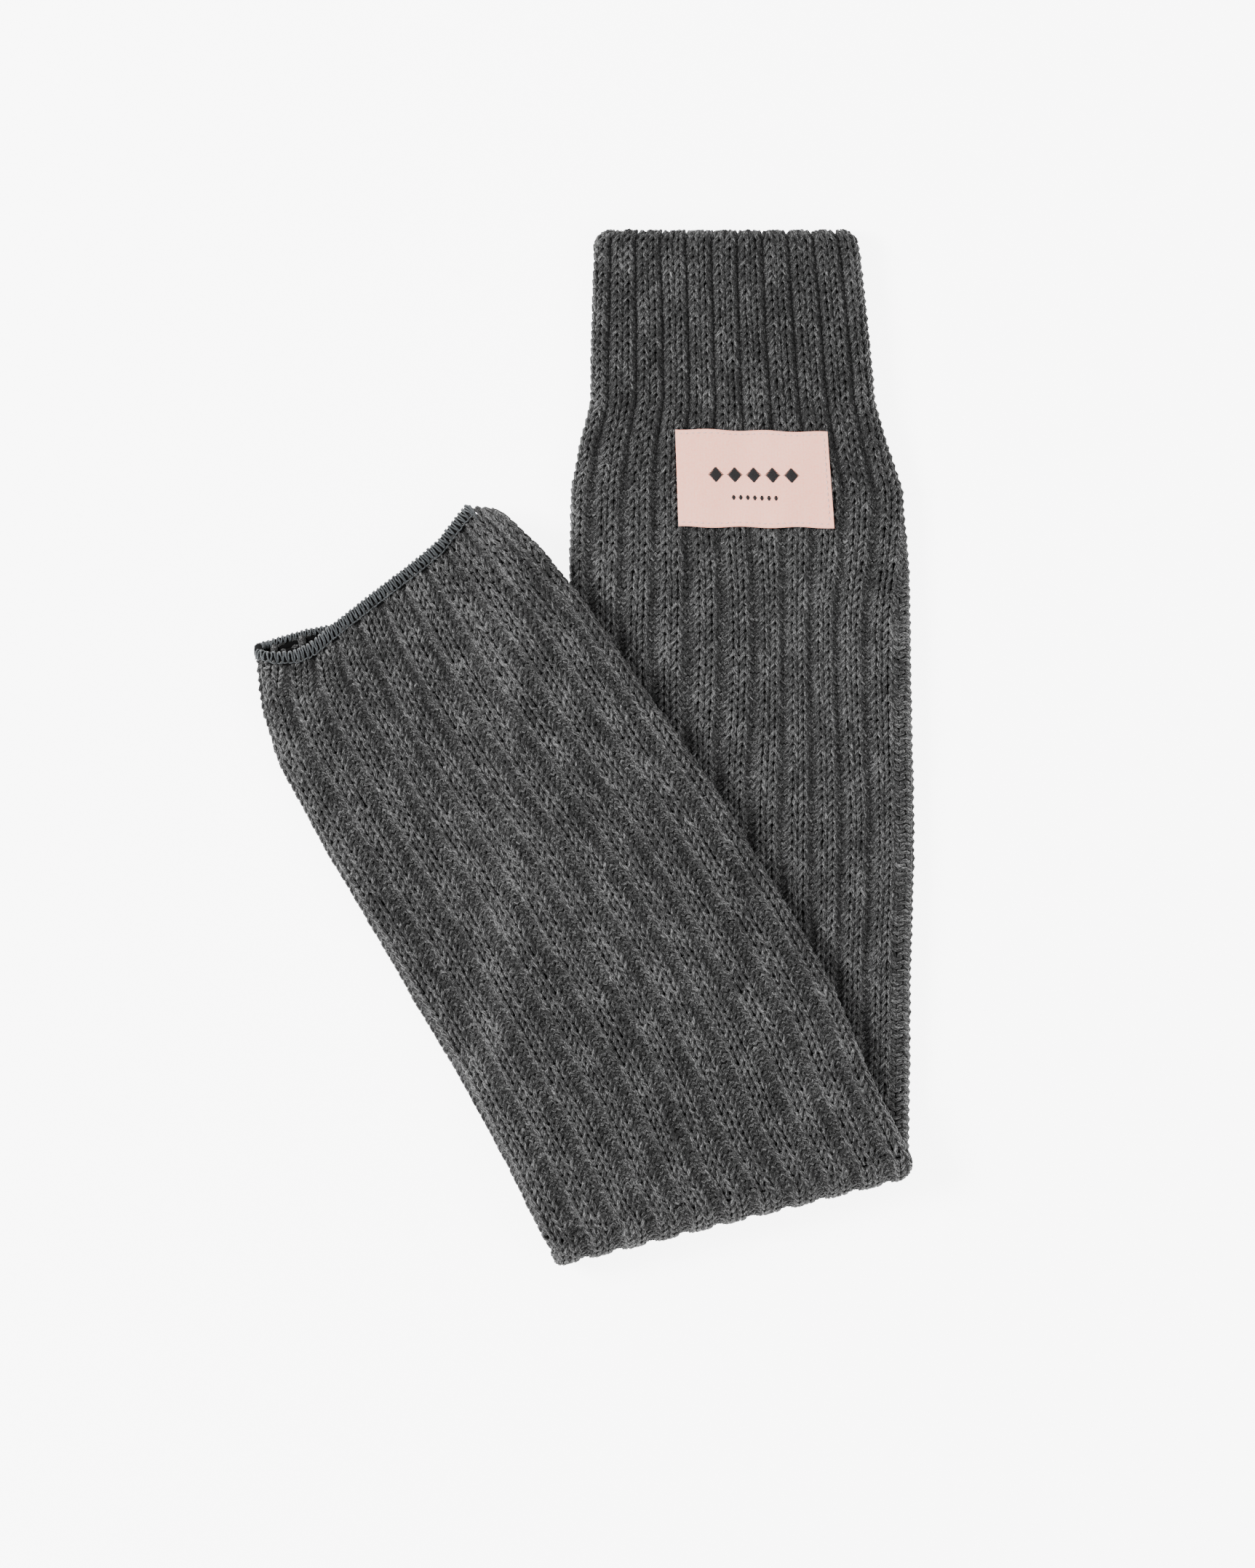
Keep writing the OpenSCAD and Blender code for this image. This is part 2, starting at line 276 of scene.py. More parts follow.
def sweep(name, centre, outward, radius, keep, closed, sides=5, shade=None, twist=0.45, squash=1.0):
    # yarns swept along rows of points: centre and outward are rows x points x 3
    rows, count = centre.shape[:2]
    if closed:
        ahead = np.roll(centre, -1, 1)
        behind = np.roll(centre, 1, 1)
    else:
        ahead = np.concatenate([centre[:, 1:], centre[:, -1:]], 1)
        behind = np.concatenate([centre[:, :1], centre[:, :-1]], 1)
    tangent = ahead - behind
    tangent /= np.maximum(np.linalg.norm(tangent, axis=-1, keepdims=True), 1e-9)
    side = np.cross(tangent, outward)
    side /= np.maximum(np.linalg.norm(side, axis=-1, keepdims=True), 1e-9)
    up = np.cross(side, tangent)
    step = np.linalg.norm(np.diff(centre, axis=1, prepend=centre[:, :1]), axis=-1)
    run = np.cumsum(step, axis=1)
    turns = np.arange(sides) * 2 * math.pi / sides
    ring = (np.cos(turns)[None, None, :, None] * side[:, :, None] +
            squash * np.sin(turns)[None, None, :, None] * up[:, :, None])
    verts = centre[:, :, None] + radius[:, :, None, None] * ring
    index = np.arange(rows * count * sides).reshape(rows, count, sides)
    nxt = np.roll(index, -1, 1)
    linked = keep & np.roll(keep, -1, 1)
    if not closed:
        linked[:, -1] = False
    a = index
    b = np.roll(index, -1, 2)
    quads = np.stack([a, b, np.roll(nxt, -1, 2), nxt], -1)[linked].reshape(-1, 4)
    before = np.roll(linked, 1, 1)
    opens = index[linked & ~before][:, ::-1]
    ends = index[before & ~linked]
    caps = np.concatenate([opens, ends])
    used = np.zeros(rows * count * sides, bool)
    used[quads.ravel()] = True
    renumber = np.cumsum(used) - 1
    corners = np.concatenate([renumber[quads.ravel()], renumber[caps.ravel()]])
    totals = np.concatenate([np.full(len(quads), 4), np.full(len(caps), sides)])
    starts = np.concatenate([[0], np.cumsum(totals)[:-1]])
    obj = addMesh(name, verts.reshape(-1, 3)[used], starts, totals, corners)
    # where a point lies on its yarn: along it, and round it with the ply's twist
    spin = turns[None, None, :] + run[:, :, None] * twist
    place = np.stack([np.broadcast_to(run[:, :, None], spin.shape), np.cos(spin), np.sin(spin)], -1)
    place[..., 0] += np.arange(rows)[:, None, None] * 37.0
    yarn = obj.data.attributes.new("yarn", "FLOAT_VECTOR", "POINT")
    yarn.data.foreach_set("vector", place.reshape(-1, 3)[used].astype(np.float32).ravel())
    if shade is None:
        shade = np.full((rows, count), 0.5)
    tone = obj.data.attributes.new("shade", "FLOAT", "POINT")
    tone.data.foreach_set("value", np.repeat(shade.reshape(-1), sides)[used].astype(np.float32))
    return obj


def stitchCourse(fine, coarse):
    # points of one row of loops: t runs 2 pi per wale, denser on the wales that show
    ts = []
    for w in range(knit["wales"]):
        count = fine if w < knit["wales"] // 2 else coarse
        ts.append(2 * math.pi * (w + np.arange(count) / count))
    return np.concatenate(ts)


def rowsOf(first, last):
    return np.arange(first, last, knit["row"])


def knitRows(rowQ, fine, coarse, yarn, depth, ribDepth, seed, cuffEnd=78):
    # the middle line of each row's yarn in the fabric's own coordinates
    t = stitchCourse(fine, coarse)
    wale = np.floor(t / (2 * math.pi) + 1e-6)
    r = np.random.default_rng(seed)
    wales = knit["wales"]
    pick = (np.arange(len(rowQ))[:, None], (wale.astype(int) % wales)[None, :])
    jitter = r.normal(0, 1, (4, len(rowQ), wales))
    local = t / (2 * math.pi)
    edge = np.minimum(local % 2, 2 - local % 2)  # distance from where plain meets purl
    plain = np.where(local % 4 < 2, 1.0, -1.0) * np.clip(edge / 0.12, 0, 1)
    bow = knit["bow"] * (1 + 0.10 * jitter[0][pick])
    s = local[None, :] + bow * np.sin(2 * t)[None, :] + 0.02 * jitter[1][pick]
    q = rowQ[:, None] - knit["swing"] * (1 + 0.05 * jitter[2][pick]) * np.cos(t)[None, :]
    q = q + 0.18 * smoothNoise(seed + 1, local[None, :] * 1.3, rowQ[:, None] / 4)
    tight = 1 - ease((rowQ - cuffEnd) / 25)[:, None]  # in the cuff the purl stitches hide between the ribs
    stand = depth * np.where(plain[None, :] < 0, 1 - 0.65 * tight, 1)
    n = -plain[None, :] * stand * np.cos(2 * t)[None, :] + ribDepth * sunkAt(s, rollAt + rowQ[:, None])
    n = n + 0.10 * smoothNoise(seed + 2, local[None, :] * 2.1, rowQ[:, None] / 2.2)
    slub = 1 + 0.07 * jitter[3][pick] + 0.05 * smoothNoise(seed + 3, local[None, :] * 5, rowQ[:, None])
    radius = yarn * slub * np.where(plain[None, :] < 0, 1 - 0.15 * tight, 1)
    shade = 0.5 + 0.16 * smoothNoise(43, local[None, :] * 0.6, rowQ[:, None] / 9) + 0.07 * jitter[0][pick]
    # painted shade: the rib valleys are painted darker than the crests, and the cuff's tight rows are
    # painted darker as well
    shade = shade + 0.2 * sunkAt(s, rollAt + rowQ[:, None]) - 0.15 * tight
    return s, q, n, radius, shade


def onLower(s, q, n):
    return laid(*fabricPoint(s, q, n))


def onUpper(s, q, n):
    return turned(*fabricPoint(s, q, n))


def makeKnit(name, place, rowQ, keepStitch, fine=10, coarse=10, yarn=knit["yarn"], depth=knit["depth"],
             ribDepth=knit["ribDepth"], seed=1, sides=5, cuffEnd=78):
    s, q, n, radius, shade = knitRows(rowQ, fine, coarse, yarn, depth, ribDepth, seed, cuffEnd)
    centre = place(s, q, n)
    outward = place(s, q, n + 0.2) - place(s, q, n - 0.2)
    wales = np.arange(knit["wales"]) + 0.5
    rows, columns = np.meshgrid(rowQ, wales, indexing="ij")
    kept = keepStitch(*fabricPoint(columns, rows, 0 * rows))
    waleOf = np.floor(stitchCourse(fine, coarse) / (2 * math.pi) + 1e-6).astype(int)
    return sweep(name, centre, outward, radius, kept[:, waleOf], True, sides, shade)


# materials

def toLinear(code):
    values = [int(code[i:i + 2], 16) / 255 for i in (1, 3, 5)]
    return [v / 12.92 if v <= 0.04045 else ((v + 0.055) / 1.055) ** 2.4 for v in values] + [1.0]


def newMaterial(name):
    material = bpy.data.materials.new(name)
    material.use_nodes = True
    tree = material.node_tree
    return material, tree, tree.nodes["Principled BSDF"]


def addNode(tree, kind, settings=None, inputs=None, links=None):
    # a node with its settings, its socket values and what feeds it
    node = tree.nodes.new(kind)
    for key, value in (settings or {}).items():
        setattr(node, key, value)
    for key, value in (inputs or {}).items():
        node.inputs[key].default_value = value
    for key, source in (links or {}).items():
        tree.links.new(source, node.inputs[key])
    return node


def setRamp(node, stops):
    ramp = node.color_ramp
    while len(ramp.elements) < len(stops):
        ramp.elements.new(0.5)
    for element, (place, code) in zip(ramp.elements, stops):
        element.position = place
        element.color = toLinear(code)


def setSockets(shader, values):
    for key, value in values.items():
        shader.inputs[key].default_value = value


def yarnMaterial(name, stops, fibre, bump, sheen, roughness):
    # spun yarn: streaks of fibre run along it with the ply's twist, and each stitch has its own tone from
    # the shade attribute, which on the knit also carries painted shade in the rib valleys; fibre is how
    # quickly the streaks change, per millimetre along the yarn and then round it
    material, tree, shader = newMaterial(name)
    place = addNode(tree, "ShaderNodeAttribute", {"attribute_name": "yarn"})
    tone = addNode(tree, "ShaderNodeAttribute", {"attribute_name": "shade"})
    stretch = addNode(tree, "ShaderNodeVectorMath", {"operation": "MULTIPLY"}, {1: fibre},
                      {0: place.outputs["Vector"]})
    streaks = addNode(tree, "ShaderNodeTexNoise", None, {"Scale": 1.0, "Detail": 2.0, "Roughness": 0.5},
                      {"Vector": stretch.outputs["Vector"]})
    mixed = addNode(tree, "ShaderNodeMath", {"operation": "MULTIPLY_ADD"}, {1: 0.16},
                    {0: tone.outputs["Fac"], 2: streaks.outputs["Fac"]})
    ramp = addNode(tree, "ShaderNodeValToRGB", None, None, {"Fac": mixed.outputs["Value"]})
    setRamp(ramp, stops)
    relief = addNode(tree, "ShaderNodeBump", None, {"Strength": bump, "Distance": 0.00025},
                     {"Height": streaks.outputs["Fac"]})
    tree.links.new(ramp.outputs["Color"], shader.inputs["Base Color"])
    tree.links.new(relief.outputs["Normal"], shader.inputs["Normal"])
    setSockets(shader, {"Roughness": roughness, "IOR": 1.5, "Specular IOR Level": 0.25,
                        "Sheen Weight": sheen, "Sheen Roughness": 0.55})
    return material


# acrylic and wool blend, spun thick and slightly brushed, charcoal heather; IOR 1.5, very rough
ribKnit = yarnMaterial("ribKnit", [(0.38, "#040404"), (0.58, "#1d1d1d"), (0.82, "#828282")],
                       (0.30, 3.6, 3.6), 0.8, 0.05, 0.9)
# texturised polyester thread from the overlock machine, a blue grey of IOR 1.6
overlockThread = yarnMaterial("overlockThread", [(0.3, "#1c1e1f"), (0.62, "#35383a"), (0.95, "#62666a")],
                              (1.2, 1.6, 1.6), 0.6, 0.1, 0.7)
# spun polyester sewing thread, dark grey
seamThread = yarnMaterial("seamThread", [(0.3, "#242628"), (0.9, "#54585b")],
                          (1.2, 1.6, 1.6), 0.5, 0.1, 0.7)
# filament polyester thread in the label's own pink
labelThread = yarnMaterial("labelThread", [(0.3, "#d9ab9f"), (0.9, "#f3d8cf")],
                           (1.2, 1.6, 1.6), 0.4, 0.1, 0.45)
# black brocaded polyester filament of the woven pattern
motifThread = yarnMaterial("motifThread", [(0.3, "#050405"), (0.9, "#181415")],
                           (1.2, 1.6, 1.6), 0.4, 0.1, 0.5)


def paintedShadeMaterial():
    # painted shade: a near-black colour standing in for the shade between the loops and inside the knit
    material, tree, shader = newMaterial("paintedShadeKnit")
    grain = addNode(tree, "ShaderNodeTexNoise", None, {"Scale": 900.0, "Detail": 2.0})
    ramp = addNode(tree, "ShaderNodeValToRGB", None, None, {"Fac": grain.outputs["Fac"]})
    setRamp(ramp, [(0.3, "#050505"), (0.7, "#0b0b0b")])
    tree.links.new(ramp.outputs["Color"], shader.inputs["Base Color"])
    setSockets(shader, {"Roughness": 0.95, "IOR": 1.5, "Specular IOR Level": 0.1})
    return material


def satinMaterial():
    # woven polyester satin ribbon: warp floats 0.25 mm wide in the sheen's direction, IOR 1.6, softly glossy
    material, tree, shader = newMaterial("labelSatin")
    place = addNode(tree, "ShaderNodeTexCoord")
    floats = addNode(tree, "ShaderNodeTexWave", {"wave_type": "BANDS", "bands_direction": "X"},
                     {"Scale": 620.0, "Distortion": 1.2, "Detail": 1.0, "Detail Scale": 3.0},
                     {"Vector": place.outputs["Object"]})
    grain = addNode(tree, "ShaderNodeTexNoise", None, {"Scale": 1500.0, "Detail": 2.0, "Roughness": 0.6},
                    {"Vector": place.outputs["Object"]})
    both = addNode(tree, "ShaderNodeMath", {"operation": "MULTIPLY_ADD"}, {1: 0.5},
                   {0: floats.outputs["Fac"], 2: grain.outputs["Fac"]})
    ramp = addNode(tree, "ShaderNodeValToRGB", None, None, {"Fac": both.outputs["Value"]})
    setRamp(ramp, [(0.3, "#fda188"), (0.75, "#ffb29a"), (1.0, "#ffc3ae")])
    relief = addNode(tree, "ShaderNodeBump", None, {"Strength": 0.25, "Distance": 0.00008},
                     {"Height": both.outputs["Value"]})
    tree.links.new(ramp.outputs["Color"], shader.inputs["Base Color"])
    tree.links.new(relief.outputs["Normal"], shader.inputs["Normal"])
    setSockets(shader, {"Roughness": 0.42, "IOR": 1.6, "Anisotropic": 0.4, "Sheen Weight": 0.1})
    return material


paintedShadeKnit = paintedShadeMaterial()
labelSatin = satinMaterial()
print("materials", len(bpy.data.materials))


def finishPiece(obj, material, slot, body, *nodes):
    obj.data.materials.append(material)
    if body:
        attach(obj, body)
    if nodes:
        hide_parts(*nodes)
    return obj


# knit

cuffRows = rowsOf(-math.pi * knit["roll"] / 2, tube["cuffLength"] - rollAt)
bodyRows = rowsOf(cuffRows[-1] + knit["row"], tube["length"] - rollAt - 1.5)
bandRows = 20
mouthMargin = 3.6  # the loops stop this far short of the edge, under the overlock


def isLower(c, l, h):
    return l < creaseAt(c)


def isUpper(c, l, h):
    return l >= creaseAt(c)


def inMouth(c, l, h):
    return isUpper(c, l, h) & (l < tube["length"] + mouthLine(c, l, h) - mouthMargin + tuckAt(c))


cuffKnit = makeKnit("cuffKnit", onLower, cuffRows, isLower, coarse=8, seed=21)
finishPiece(cuffKnit, ribKnit, "rib_knit", "cuff_half", "cuff_outer")
turnRows = -math.pi * knit["roll"] - rowsOf(2.4, 66)
cuffTurn = makeKnit("cuffTurnIn", onLower, turnRows, isLower, fine=7, coarse=7, yarn=0.52, depth=0.34,
                    ribDepth=0.45, seed=22, sides=4)
finishPiece(cuffTurn, ribKnit, "rib_knit", "cuff_half", "cuff_turn_in")
lowerKnit = []
upperKnit = []
for i in range(0, len(bodyRows), bandRows):
    rows = bodyRows[i:i + bandRows]
    if rows[0] < tube["foldAt"] + 12:
        part = makeKnit("lowerKnit_%d" % len(lowerKnit), onLower, rows, isLower, coarse=8, seed=31 + i)
        lowerKnit.append(finishPiece(part, ribKnit, "rib_knit", "cuff_half"))
    if rows[-1] > tube["foldAt"] - 24:
        part = makeKnit("upperKnit_%d" % len(upperKnit), onUpper, rows, inMouth, seed=31 + i)
        upperKnit.append(finishPiece(part, ribKnit, "rib_knit", "open_half"))
print("knit rows", len(cuffRows), len(turnRows), len(bodyRows))

wrap = {"length": 30.0, "row": 3.05, "rows": 10, "height": 7.2, "ribDepth": 1.5}


def onWrap(s, q, n):
    c, h = ringPoint(s, tube["foldAt"] + 0 * s, knit["middle"] - n)
    return roundFold(c, h, q / wrap["length"] * math.pi)


wrapQ = (np.arange(wrap["rows"]) - (wrap["rows"] - 1) / 2) * wrap["row"] + wrap["length"] / 2
foldKnit = makeKnit("foldKnit", onWrap, wrapQ, lambda c, l, h: h < wrap["height"],
                    ribDepth=wrap["ribDepth"], seed=91, cuffEnd=-40)
finishPiece(foldKnit, ribKnit, "rib_knit", None, "fold_band")
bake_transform(foldKnit)

# painted shade: dark shells behind the loops, seen only between them, stand in for the shade inside the knit

backing = {"out": -0.75, "thick": 0.45, "perWale": 2}


def shellMesh(name, place, alongAt, rowsCount):
    # a thin closed tube wall: rings of points, outer and inner
    s = np.arange(knit["wales"] * backing["perWale"]) / backing["perWale"]
    v = np.linspace(0, 1, rowsCount)
    grid = []
    for layer in (backing["out"], backing["out"] - backing["thick"]):
        ss, vv = np.meshgrid(s, v, indexing="ij")
        q = alongAt(ss, vv)
        grid.append(place(ss, q, layer + knit["ribDepth"] * sunkAt(ss, rollAt + q)))
    across = len(s)
    verts = np.concatenate([g.reshape(-1, 3) for g in grid])
    index = np.arange(2 * across * rowsCount).reshape(2, across, rowsCount)
    o, i = index
    on, inn = np.roll(o, -1, 0), np.roll(i, -1, 0)
    outer = np.stack([o[:, :-1], o[:, 1:], on[:, 1:], on[:, :-1]], -1).reshape(-1, 4)
    inner = np.stack([i[:, :-1], inn[:, :-1], inn[:, 1:], i[:, 1:]], -1).reshape(-1, 4)
    start = np.stack([o[:, 0], on[:, 0], inn[:, 0], i[:, 0]], -1)
    end = np.stack([o[:, -1], i[:, -1], inn[:, -1], on[:, -1]], -1)
    faces = np.concatenate([outer, inner, start, end])
    return quadMesh(name, verts, faces)


def creaseOf(s):
    c = ringPoint(s, tube["foldAt"] + 0 * s, knit["middle"] + 0 * s)[0]
    return creaseAt(c) - rollAt


lowerShadeShell = shellMesh("lowerShadeShell", onLower, lambda s, v: 1.0 + v * (creaseOf(s) - 1.0), 52)
finishPiece(lowerShadeShell, paintedShadeKnit, "rib_knit", "cuff_half", "lower_tube")
upperShadeShell = shellMesh("upperShadeShell", onUpper,
                        lambda s, v: creaseOf(s) + v * (tube["length"] - 5 - rollAt - creaseOf(s)), 40)
finishPiece(upperShadeShell, paintedShadeKnit, "rib_knit", "open_half", "upper_tube", "mouth_tube")
foldShadeShell = shellMesh("foldShadeShell", onWrap, lambda s, v: v * wrap["length"] + 0 * s, 9)
finishPiece(foldShadeShell, paintedShadeKnit, "rib_knit", None)
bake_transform(foldShadeShell)

# the mouth's overlocked edge


def mouthPoint(e, back, inset):
    l = tube["length"] - back + 0 * e
    c, h = ringArc(e, l, inset)
    tuck = tuckAt(c)
    reach = l + mouthLine(c, l, h) - overlock["tuckBack"] * tuck
    h = h + (tube["height"] / 2 - h) * 0.6 * tuck
    return turned(c - overlock["tuckIn"] * tuck, reach, h)


def threadAround(name, stitches, shape, radius):
    # one thread looped round the mouth: shape gives (share of the pitch, back, inset) per point
    shape = np.array(shape, float)
    share = (np.arange(stitches)[:, None] + shape[None, :, 0]).ravel() / stitches
    back = np.tile(shape[:, 1], stitches)
    inset = np.tile(shape[:, 2], stitches)
    wobble = 0.10 * dice.normal(size=share.size)
    share = share + 0.05 / stitches * dice.normal(size=share.size)
    centre = mouthPoint(share, back + wobble, inset)[None]
    outward = mouthPoint(share, back, inset - 0.4)[None] - mouthPoint(share, back, inset + 0.4)[None]
    keep = np.ones(centre.shape[:2], bool)
    radii = radius * (1 + 0.1 * dice.normal(size=(1, share.size)))
    tone = np.clip(0.5 + 0.2 * dice.normal(size=(1, share.size)), 0, 1)
    return sweep(name, centre, outward, radii, keep, True, 5, tone, 3.0)


overlock = {"stitches": 118, "thread": 0.34, "needle": 0.24, "tuckBack": 6.5, "tuckIn": 1.5}
outerLooper = threadAround("overlockOuterLooper", overlock["stitches"], [
    (0.00, 4.3, 0.35), (0.10, 3.0, 0.10), (0.24, 1.6, 0.10), (0.34, 0.5, 0.35), (0.42, 0.0, 1.2),
    (0.60, 0.0, 1.5), (0.72, 0.3, 0.7), (0.72, 1.4, 0.20), (0.78, 2.9, 0.20), (0.88, 4.3, 0.45)],
    overlock["thread"])
finishPiece(outerLooper, overlockThread, "overlock_thread", "open_half", "overlock_outer_looper")
innerLooper = threadAround("overlockInnerLooper", overlock["stitches"], [
    (0.00, 2.7, 3.0), (0.12, 2.0, 3.25), (0.26, 1.2, 3.25), (0.40, 0.3, 2.7), (0.50, 0.1, 2.0),
    (0.66, 0.3, 2.6), (0.74, 1.2, 3.2), (0.82, 2.0, 3.2), (0.90, 2.7, 3.0)], overlock["thread"])
finishPiece(innerLooper, overlockThread, "overlock_thread", "open_half", "overlock_inner_looper")
needleThread = threadAround("overlockNeedleThread", overlock["stitches"], [
    (0.00, 4.6, 0.9), (0.15, 4.6, 0.1), (0.40, 4.7, -0.15), (0.65, 4.7, -0.15), (0.88, 4.6, 0.1)],
    overlock["needle"])
finishPiece(needleThread, overlockThread, "overlock_thread", "open_half", "overlock_needle_thread")


def mouthTrim():
    # the knit's cut edge, squeezed flat under the loops
    e = np.arange(220) / 220
    profile = [(5.6, 0.9), (3.0, 0.6), (0.6, 0.9), (0.25, 1.7), (0.6, 2.5), (3.0, 2.8), (5.6, 2.5)]
    rings = [mouthPoint(e, back + 0 * e, inset) for back, inset in profile]
    verts = np.stack(rings, 1)
    across, count = verts.shape[:2]
    index = np.arange(across * count).reshape(across, count)
    after = np.roll(index, -1, 0)
    ahead = np.roll(index, -1, 1)
    both = np.roll(after, -1, 1)
    faces = np.stack([index, ahead, both, after], -1).reshape(-1, 4)
    return quadMesh("mouthTrim", verts, faces)


# painted shade: the cut edge takes the near-black colour that stands in for the shade under the loops
finishPiece(mouthTrim(), paintedShadeKnit, "rib_knit", "open_half", "mouth_edge")
print("mouth", overlock["stitches"], "stitches")

# cuff hem and side seams, inside the tube


hem = {"stitches": 96, "thread": 0.22}
seam = {"pitch": 3.2, "in": 7.2, "yarn": 0.62, "swing": 1.1, "rise": 0.5}


def shortYarns(name, centre, radius, twist, squash):
    # yarns with two ends that lie flat: centre is count x points x 3
    outward = np.zeros_like(centre)
    outward[..., 2] = 1
    keep = np.ones(centre.shape[:2], bool)
    radii = np.full(centre.shape[:2], radius)
    return sweep(name, centre, outward, radii, keep, False, 5, None, twist, squash)


def hemThread():
    stitches = hem["stitches"]
    shape = np.array([(0.0, 69.9, 2.9), (0.25, 71.2, 3.4), (0.5, 71.4, 4.3), (0.75, 70.0, 4.9),
                      (0.9, 68.8, 4.4)])  # share of the pitch, along, inset
    e = (np.arange(stitches)[:, None] + shape[None, :, 0]).ravel() / stitches
    l = np.tile(shape[:, 1], stitches)
    inset = np.tile(shape[:, 2], stitches)
    c, h = ringArc(e, l, inset)
    outerC, outerH = ringArc(e, l, inset - 0.4)
    centre = laid(c, l, h)[None]
    outward = laid(outerC, l, outerH)[None] - centre
    return sweep("cuffHemThread", centre, outward, np.full(centre.shape[:2], hem["thread"]),
                 np.ones(centre.shape[:2], bool), True, 5)


finishPiece(hemThread(), seamThread, "seam_thread", "cuff_half", "cuff_hem_stitching")


def sideSeam(name, first, last, place):
    # two yarns linked in a chain along the selvedges
    t = np.arange(0, (last - first) / seam["pitch"] * 8) / 8
    l = first + t * seam["pitch"]
    edge = along(l, tube["right"]) - seam["in"]
    rows = []
    for side in (0, math.pi):
        c = edge + seam["swing"] * np.cos(2 * math.pi * t + side)
        h = heightAt(l) / 2 + seam["rise"] * np.sin(4 * math.pi * t + side)
        rows.append(place(c, l, h))
    return shortYarns(name, np.stack(rows), seam["yarn"], 0.45, 1.0)


finishPiece(sideSeam("lowerSideSeam", 88, 332, laid), ribKnit, "rib_knit", "cuff_half",
            "lower_side_seam")
finishPiece(sideSeam("upperSideSeam", 380, 600, turned), ribKnit, "rib_knit", "open_half",
            "upper_side_seam")

# woven label

label = {
    "corners": [(-23.4, 74.1), (32.4, 75.2), (35.0, 110.3), (-22.2, 109.9)],  # across, along
    "width": 57.0,
    "height": 36.0,
    "lift": 0.55,
    "turned": 8.0,
    "thick": 0.3,
}


def labelPlace(u, v, lift):
    # u and v from 0 to 1 over the label's face
    (c0, l0), (c1, l1), (c2, l2), (c3, l3) = label["corners"]
    c = (c0 * (1 - u) + c1 * u) * (1 - v) + (c3 * (1 - u) + c2 * u) * v
    l = (l0 * (1 - u) + l1 * u) * (1 - v) + (l3 * (1 - u) + l2 * u) * v
    l = l + 0.25 * np.sin(u * 17 + 1) * (1 - 2 * v)
    wave = 0.32 * np.sin(u * 9.5 + 1.2 * v) + 0.16 * np.sin(u * 23 + v * 5) * np.abs(1 - 2 * v)
    return laid(c, l, heightAt(l) + label["lift"] + lift + wave * np.sin(math.pi * np.clip(u, 0, 1)))


def labelCloth():
    width = label["width"]
    x = np.concatenate([np.linspace(-label["turned"], -0.6, 8), [-0.25, 0.0, 0.25],
                        np.linspace(1, width - 1, 70), [width - 0.25, width, width + 0.25],
                        np.linspace(width + 0.6, width + label["turned"], 8)])
    face = np.clip(x, 0, width)
    under = np.where(x < 0, -x, np.where(x > width, x - width, 0))
    u = np.where(x < 0, under / width, np.where(x > width, 1 - under / width, face / width))
    low = -0.5 * ease(under / 0.5)
    v = np.linspace(0, 1, 40)
    uu, vv = np.meshgrid(u, v, indexing="ij")
    top = labelPlace(uu, vv, low[:, None])
    count = len(v)
    index = np.arange(len(u) * count).reshape(len(u), count)
    faces = np.stack([index[:-1, 1:], index[1:, 1:], index[1:, :-1], index[:-1, :-1]], -1).reshape(-1, 4)
    obj = quadMesh("labelCloth", top, faces)
    solid = obj.modifiers.new("thickness", "SOLIDIFY")
    solid.thickness = label["thick"] * mm
    solid.offset = -1
    return obj


labelPiece = finishPiece(labelCloth(), labelSatin, "label_satin", "cuff_half", "label_ground",
                         "label_end_fold_left", "label_end_fold_right")


labelYarn = {"stitch": 0.22, "float": 0.2, "twist": 3.0, "squash": 0.6}


def labelStitches(name, count, first, step):
    # first and step are places on the label's face, from 0 to 1 both ways
    t = np.linspace(0, 1, 6)
    run = (np.arange(count)[:, None] + 0.6 * t[None, :]) / count
    lift = 0.16 - 0.34 * np.abs(2 * t - 1)[None, :] ** 3
    paths = labelPlace(first[0] + step[0] * run, first[1] + step[1] * run, lift)
    return shortYarns(name, paths, labelYarn["stitch"], labelYarn["twist"], labelYarn["squash"])


finishPiece(labelStitches("labelStitchTop", 24, (0.02, 0.035), (0.965, 0)), labelThread, "label_thread",
            "cuff_half", "label_stitch_top")
finishPiece(labelStitches("labelStitchBottom", 24, (0.02, 0.955), (0.965, 0)), labelThread, "label_thread",
            "cuff_half", "label_stitch_bottom")
finishPiece(labelStitches("labelStitchRight", 14, (0.972, 0.07), (0, 0.87)), labelThread, "label_thread",
            "cuff_half", "label_stitch_right")


motif = {
    "pitch": 0.36,  # from float to float
    "diamonds": 5,
    "diamondStep": 7.0,
    "diamondHalf": 3.0,
    "diamondRow": 16.5,  # down from the label's top
    "dots": 7,
    "dotStep": 2.6,
    "dotHalf": 0.85,
    "dotTaper": 0.22,
    "dotRow": 25.0,
}


def labelMotif():
    # a row of woven diamonds over a row of dots, in weft floats
    pitch = motif["pitch"]
    centre = label["width"] / 2
    floats = []
    for i in range(motif["diamonds"]):
        middle = centre + (i - (motif["diamonds"] - 1) / 2) * motif["diamondStep"]
        for k in range(-8, 9):
            half = motif["diamondHalf"] - abs(k) * pitch
            if half > 0.15:
                floats.append((middle - half, middle + half, motif["diamondRow"] + k * pitch))
    for i in range(motif["dots"]):
        middle = centre + (i - (motif["dots"] - 1) / 2) * motif["dotStep"]
        for k in range(-2, 3):
            half = motif["dotHalf"] - abs(k) * motif["dotTaper"]
            floats.append((middle - half, middle + half, motif["dotRow"] + k * pitch))
    a, b, y = np.array(floats).T
    t = np.linspace(0, 1, 5)
    u = (a[:, None] + (b - a)[:, None] * t[None, :]) / label["width"]
    v = (y / label["height"])[:, None] + 0 * u
    lift = 0.06 - 0.16 * np.abs(2 * t - 1)[None, :] ** 4
    return shortYarns("labelMotif", labelPlace(u, v, lift), labelYarn["float"], labelYarn["twist"],
                      labelYarn["squash"])


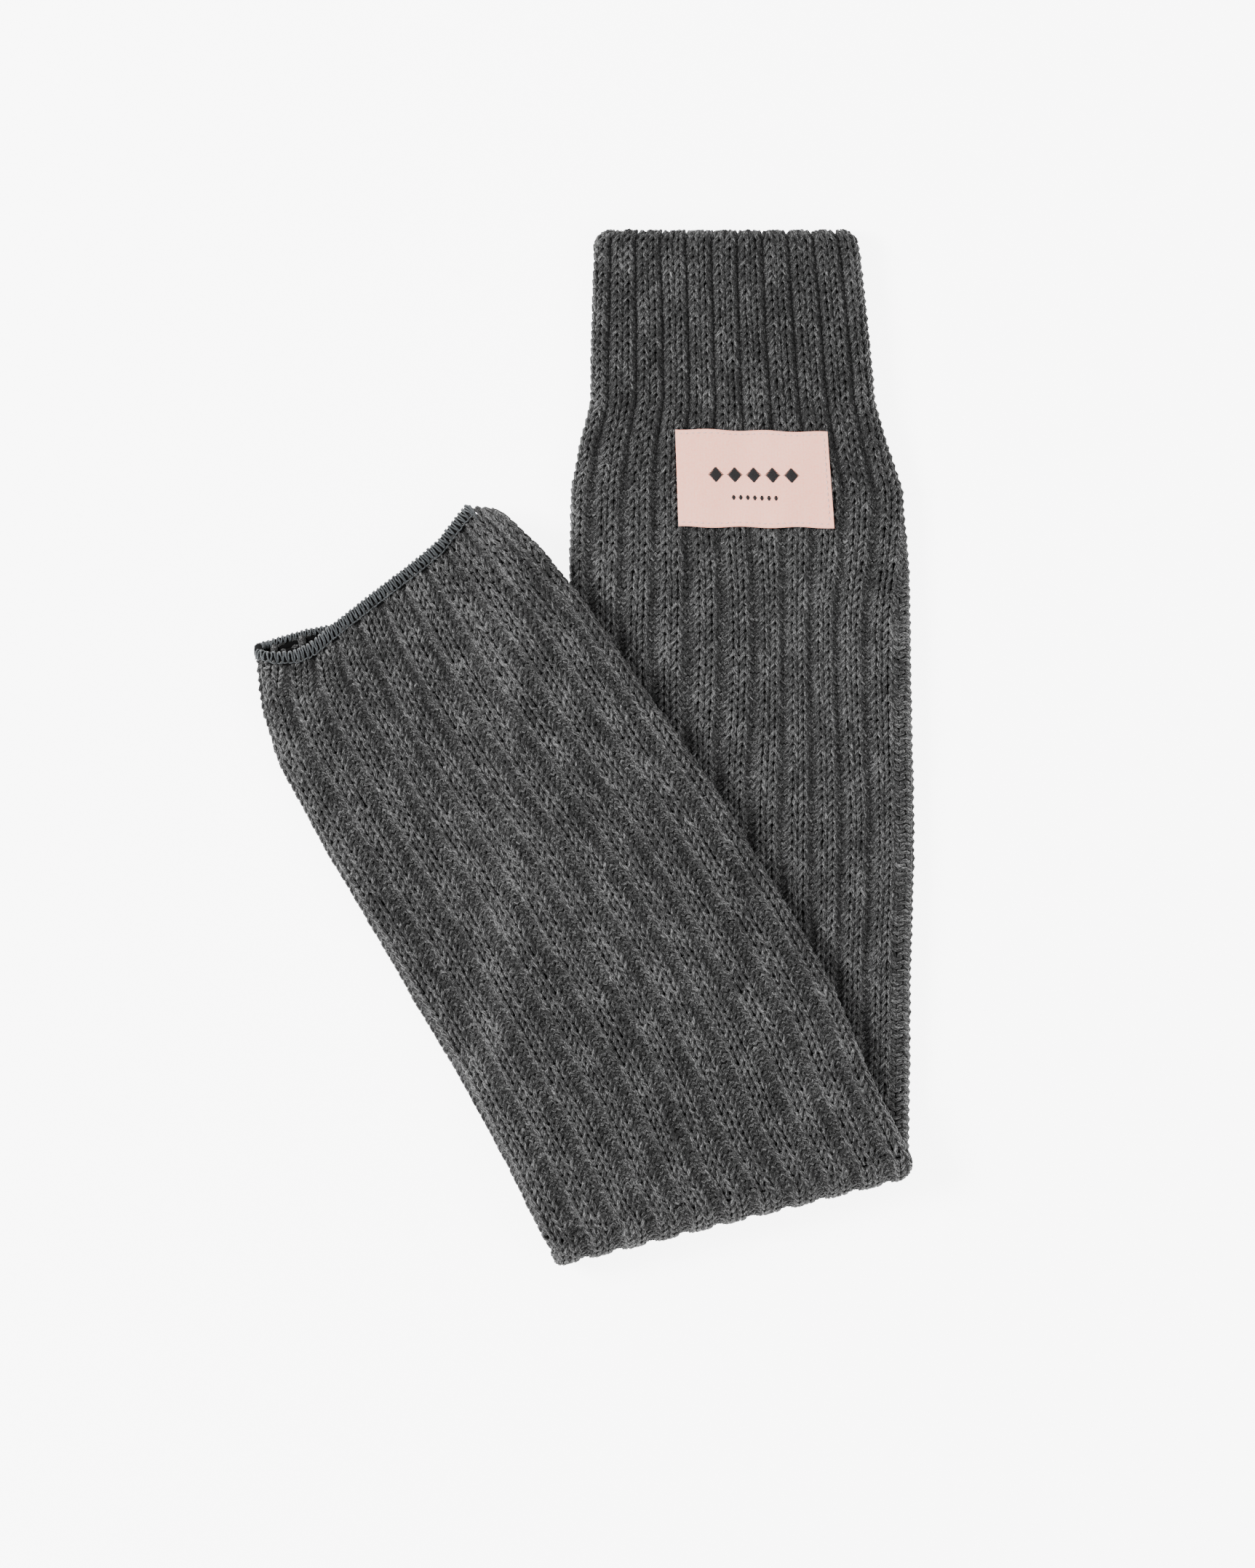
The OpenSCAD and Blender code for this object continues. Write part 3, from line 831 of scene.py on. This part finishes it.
finishPiece(labelMotif(), motifThread, "motif_thread", "cuff_half", "label_motif")
print("label", len(labelPiece.data.vertices), "points")

# studio

view = {"across": 0.0155, "up": -0.0141, "height": 0.5749, "distance": 3.0, "level": 0.014}
camera = bpy.data.cameras.new("camera")
camera.sensor_width = 36
camera.sensor_height = 36
camera.sensor_fit = "VERTICAL"
camera.lens = 36 * view["distance"] / view["height"]
camera.clip_start = 0.1
camera.clip_end = 50
cameraObj = bpy.data.objects.new("camera", camera)
bpy.context.scene.collection.objects.link(cameraObj)
cameraObj.location = (view["across"], view["up"], view["level"] + view["distance"])
bpy.context.scene.camera = cameraObj

studio = {"floor": 16.0, "glow": 6.1, "sky": 1.1}
floorMesh = bpy.data.meshes.new("floor")
half = studio["floor"] / 2
floorMesh.from_pydata([(-half, -half, 0), (half, -half, 0), (half, half, 0), (-half, half, 0)], [],
                      [(0, 1, 2, 3)])
floor = bpy.data.objects.new("floor", floorMesh)
bpy.context.scene.collection.objects.link(floor)
floorPaint, _, floorShader = newMaterial("floorPaper")
# matt white paper lit from behind, as on a light table
setSockets(floorShader, {"Base Color": toLinear("#f4f4f4"), "Roughness": 0.9, "Specular IOR Level": 0.1,
                         "Emission Color": (1, 1, 1, 1), "Emission Strength": studio["glow"]})
floorMesh.materials.append(floorPaint)

world = bpy.data.worlds.new("studio")
bpy.context.scene.world = world
world.use_nodes = True
world.node_tree.nodes["Background"].inputs["Color"].default_value = (1, 1, 1, 1)
world.node_tree.nodes["Background"].inputs["Strength"].default_value = studio["sky"]


def addLamp(name, place, size, power):
    # a square softbox turned to the middle of the floor
    lamp = bpy.data.lights.new(name, "AREA")
    lamp.shape = "SQUARE"
    lamp.size = size
    lamp.energy = power
    obj = bpy.data.objects.new(name, lamp)
    bpy.context.scene.collection.objects.link(obj)
    obj.location = place
    obj.rotation_euler = (-Vector(place)).to_track_quat("-Z", "Y").to_euler()


addLamp("softboxLeft", (-1.65, 0.4, 1.7), 0.9, 118)
addLamp("softboxRight", (1.7, -0.6, 1.9), 1.4, 34)
